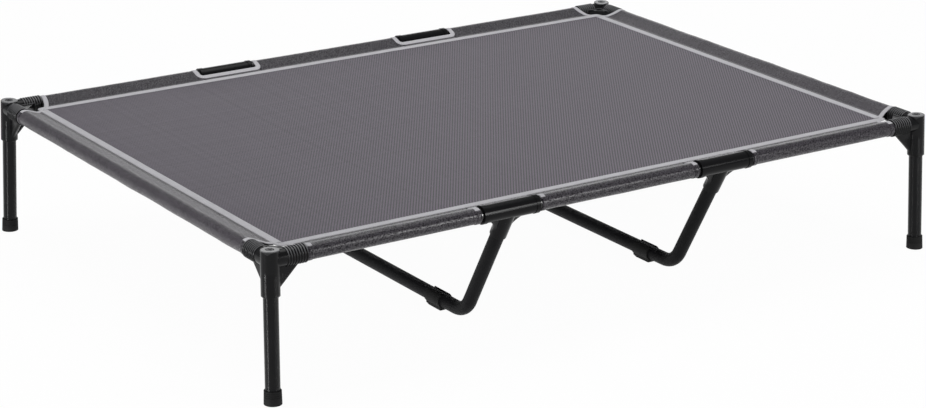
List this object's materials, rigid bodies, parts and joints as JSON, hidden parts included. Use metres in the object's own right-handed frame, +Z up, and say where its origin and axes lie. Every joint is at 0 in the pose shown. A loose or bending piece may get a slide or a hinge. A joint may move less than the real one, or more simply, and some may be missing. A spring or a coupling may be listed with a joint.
{
  "type": "raised dog cot",
  "caption": "Low rectangular pet cot: mesh sling stretched on a black steel tube frame with ribbed corner connectors, round legs, and bent floor braces on tee connectors.",
  "frame": {"origin": "on the floor, under the middle of the cot", "axes": "+X along the length, -Y towards the front long side, +Z up"},
  "size_m": [1.2478, 0.9122, 0.2285],
  "materials": {
    "moulded_plastic": "black satin injection moulding",
    "coated_steel": "black powder coat, semi-gloss",
    "rubber": "matte black",
    "black_screw": "black zinc",
    "mesh_cloth": "grey coated-yarn mesh",
    "webbing": "light grey woven tape"
  },
  "bodies": {
    "root": {"corner_front_left": "moulded_plastic", "tee_front_left": "moulded_plastic", "leg_front_left": "coated_steel", "foot_front_left": "rubber", "brace_pad_front_left": "rubber", "corner_front_right": "moulded_plastic", "tee_front_right": "moulded_plastic", "leg_front_right": "coated_steel", "foot_front_right": "rubber", "brace_pad_front_right": "rubber", "corner_rear_left": "moulded_plastic", "tee_rear_left": "moulded_plastic", "leg_rear_left": "coated_steel", "foot_rear_left": "rubber", "brace_pad_rear_left": "rubber", "corner_rear_right": "moulded_plastic", "tee_rear_right": "moulded_plastic", "leg_rear_right": "coated_steel", "foot_rear_right": "rubber", "brace_pad_rear_right": "rubber", "leg_plugs": "moulded_plastic", "leg_screws": "black_screw", "seam_tape_front": "webbing", "front_rail_left": "coated_steel", "front_sleeve_left": "mesh_cloth", "front_rail_middle": "coated_steel", "front_sleeve_middle": "mesh_cloth", "front_rail_right": "coated_steel", "front_sleeve_right": "mesh_cloth", "seam_tape_rear": "webbing", "rear_rail_left": "coated_steel", "rear_sleeve_left": "mesh_cloth", "rear_rail_middle": "coated_steel", "rear_sleeve_middle": "mesh_cloth", "rear_rail_right": "coated_steel", "rear_sleeve_right": "mesh_cloth", "end_rail_left": "coated_steel", "end_sleeve_left": "mesh_cloth", "seam_tape_left": "webbing", "brace_left": "coated_steel", "end_rail_right": "coated_steel", "end_sleeve_right": "mesh_cloth", "seam_tape_right": "webbing", "brace_right": "coated_steel", "sling_panel": "mesh_cloth", "corner_bindings": "webbing", "tee_bindings": "webbing"}
  },
  "joints": []
}
